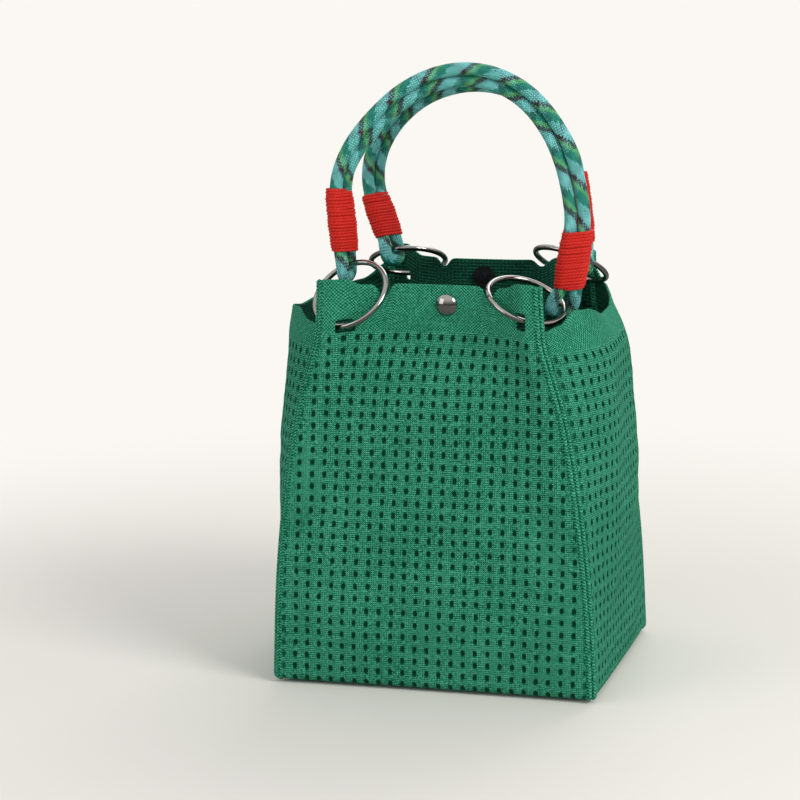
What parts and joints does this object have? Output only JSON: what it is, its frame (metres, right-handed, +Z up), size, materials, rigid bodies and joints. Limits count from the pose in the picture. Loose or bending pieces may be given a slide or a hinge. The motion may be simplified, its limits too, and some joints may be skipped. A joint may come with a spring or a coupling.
{
  "type": "mesh bucket bag",
  "caption": "Knitted mesh bucket bag with a tapered box body, an open pinched mouth with corner rings, rope carrying handles and a snap fastener.",
  "frame": {"origin": "centre of the base, on the surface the bag stands on", "axes": "+Z up, +X to the right across the front, +Y from the front to the back"},
  "size_m": [0.2058, 0.16, 0.371],
  "materials": {
    "knit": "open eyelet knit, matte",
    "knit_hem": "dense knit, matte",
    "knit_rib": "ribbed knit, matte",
    "ring_metal": "dark nickel, polished",
    "rope": "braided cord in several colours",
    "whipping": "fine wound cord",
    "snap_metal": "dark polished",
    "snap_black": "black, slightly glossy"
  },
  "bodies": {
    "bag": {"base_panel": "knit", "front_panel": "knit", "back_panel": "knit", "front_band": "knit_hem", "back_band": "knit_hem", "right_side_panel": "knit", "left_side_panel": "knit", "right_side_hem": "knit_hem", "left_side_hem": "knit_hem", "front_right_rib": "knit_rib", "front_left_rib": "knit_rib", "back_right_rib": "knit_rib", "back_left_rib": "knit_rib", "snap_cap": "snap_metal", "snap_socket": "snap_black", "snap_stud": "snap_black", "snap_rivet": "snap_metal"},
    "front_left_ring": {"front_left_ring": "ring_metal"},
    "front_right_ring": {"front_right_ring": "ring_metal"},
    "back_left_ring": {"back_left_ring": "ring_metal"},
    "back_right_ring": {"back_right_ring": "ring_metal"},
    "front_handle": {"front_handle_rope": "rope", "front_handle_left_whipping": "whipping", "front_handle_right_whipping": "whipping"},
    "back_handle": {"back_handle_rope": "rope", "back_handle_left_whipping": "whipping", "back_handle_right_whipping": "whipping"}
  },
  "joints": [
    {"name": "front_left_ring_swing", "type": "hinge", "parent": "bag", "child": "front_left_ring", "pos_m": [-0.053, -0.0703, 0.223], "axis": [1, 0, 0], "range_deg": [0, 60]},
    {"name": "front_right_ring_swing", "type": "hinge", "parent": "bag", "child": "front_right_ring", "pos_m": [0.053, -0.0703, 0.223], "axis": [1, 0, 0], "range_deg": [0, 60]},
    {"name": "front_handle_swing", "type": "hinge", "parent": "front_left_ring", "child": "front_handle", "pos_m": [-0.0606, -0.0385, 0.2504], "axis": [0.9888, 0.0218, -0.1478], "range_deg": [-3, 35]},
    {"name": "back_left_ring_swing", "type": "hinge", "parent": "bag", "child": "back_left_ring", "pos_m": [-0.053, 0.0695, 0.2295], "axis": [-1, 0, 0], "range_deg": [0, 60]},
    {"name": "back_right_ring_swing", "type": "hinge", "parent": "bag", "child": "back_right_ring", "pos_m": [0.053, 0.0695, 0.2295], "axis": [-1, 0, 0], "range_deg": [0, 60]},
    {"name": "back_handle_swing", "type": "hinge", "parent": "back_left_ring", "child": "back_handle", "pos_m": [-0.0522, 0.0297, 0.2507], "axis": [-0.9995, -0.0238, 0.0221], "range_deg": [-3, 35]}
  ],
  "couplings": [
    {"joint": "front_right_ring_swing", "follows": "front_left_ring_swing", "ratio": 1},
    {"joint": "back_right_ring_swing", "follows": "back_left_ring_swing", "ratio": 1}
  ]
}
